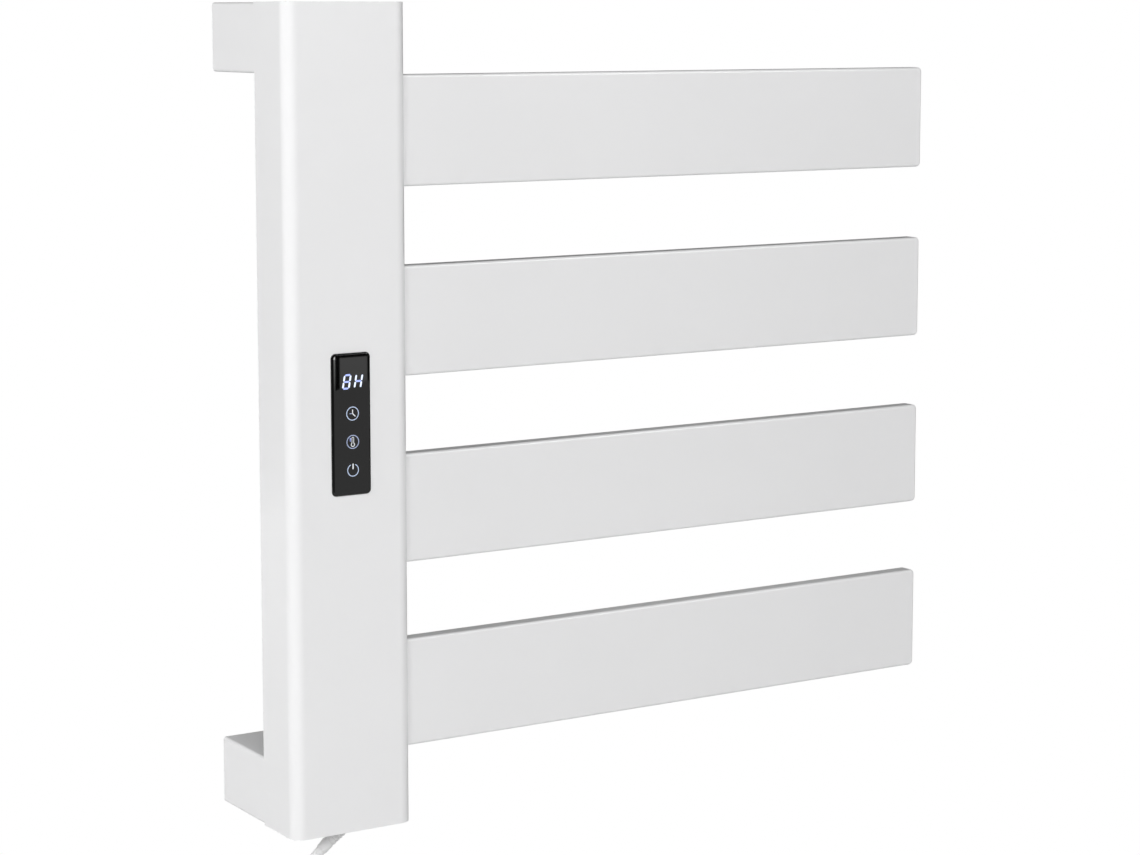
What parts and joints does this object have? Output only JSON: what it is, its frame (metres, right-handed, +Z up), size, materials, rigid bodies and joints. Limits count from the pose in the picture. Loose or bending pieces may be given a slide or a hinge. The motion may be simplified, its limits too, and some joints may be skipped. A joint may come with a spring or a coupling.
{
  "type": "towel warmer rack",
  "caption": "Wall-hung electric towel warmer: box column with a touch panel, flat heated bars with free ends, stand-off arms that hook on wall plates, and a mains lead.",
  "frame": {"origin": "on the wall's face, at the centre of the four wall screws", "axes": "+X along the bars towards their free ends, +Y into the wall, +Z up"},
  "size_m": [0.5253, 0.1158, 0.7561],
  "materials": {
    "white_paint": "satin white powder coat",
    "white_cap": "satin white moulded plastic",
    "zinc_steel": "zinc plated",
    "bare_aluminium": "mill finish",
    "grey_silicone": "matte silicone",
    "black_lens": "gloss smoked acrylic",
    "black_plastic": "matte",
    "green_board": "solder mask",
    "display_white": "matte",
    "grey_ribbon": "matte",
    "yellow_tape": "satin",
    "fuse_glass": "gloss ceramic",
    "green_plastic": "matte",
    "white_nylon": "satin nylon",
    "black_resin": "gloss resin",
    "lead_insulation": "satin insulation",
    "red_silicone": "matte silicone",
    "brass_metal": "plain",
    "white_pvc": "satin flexible PVC",
    "tie_plastic": "matte",
    "plug_plastic": "satin moulded plastic",
    "nickel_pins": "nickel plated"
  },
  "bodies": {
    "wall_mount": {"upper_wall_plate": "zinc_steel", "lower_wall_plate": "zinc_steel"},
    "rack": {"arm_screws": "zinc_steel", "back_cover_screws": "zinc_steel", "bar_1": "white_paint", "bar_2": "white_paint", "bar_3": "white_paint", "bar_4": "white_paint", "bar_end_cap_1": "white_cap", "bar_end_cap_2": "white_cap", "bar_end_cap_3": "white_cap", "bar_end_cap_4": "white_cap", "bar_saddle_1": "bare_aluminium", "bar_saddle_2": "bare_aluminium", "bar_saddle_3": "bare_aluminium", "bar_saddle_4": "bare_aluminium", "bar_screws": "zinc_steel", "board_screws": "zinc_steel", "board_standoffs": "white_nylon", "bottom_cap": "white_paint", "cable_gland": "white_nylon", "column_back_cover": "white_paint", "column_profile": "white_paint", "cord_boot": "white_pvc", "cord_coil": "white_pvc", "cord_lead": "white_pvc", "cord_tail": "white_pvc", "cord_tie": "tie_plastic", "display_module": "display_white", "display_ribbon": "grey_ribbon", "earth_stud": "brass_metal", "filter_capacitor": "yellow_tape", "fuse": "fuse_glass", "gland_nut": "white_nylon", "heat_spreaders": "bare_aluminium", "heating_cable_1": "red_silicone", "heating_cable_2": "red_silicone", "heating_cable_3": "red_silicone", "heating_cable_4": "red_silicone", "inner_wiring": "lead_insulation", "lens_housing": "black_plastic", "lower_arm": "white_paint", "lower_hanger_bar": "zinc_steel", "mains_tail": "white_pvc", "plug_body": "plug_plastic", "plug_pins": "nickel_pins", "power_board": "green_board", "relay": "black_plastic", "slot_gaskets": "grey_silicone", "temperature_probe": "black_resin", "terminal_block": "green_plastic", "thermal_cutout": "black_plastic", "top_cap": "white_paint", "touch_board": "green_board", "touch_lens": "black_lens", "touch_springs": "zinc_steel", "transformer": "yellow_tape", "upper_arm": "white_paint", "upper_hanger_bar": "zinc_steel"}
  },
  "joints": [
    {"name": "rack_lift", "type": "slide", "parent": "wall_mount", "child": "rack", "axis": [0, 0, 1], "range_m": [0, 0.0075]}
  ]
}
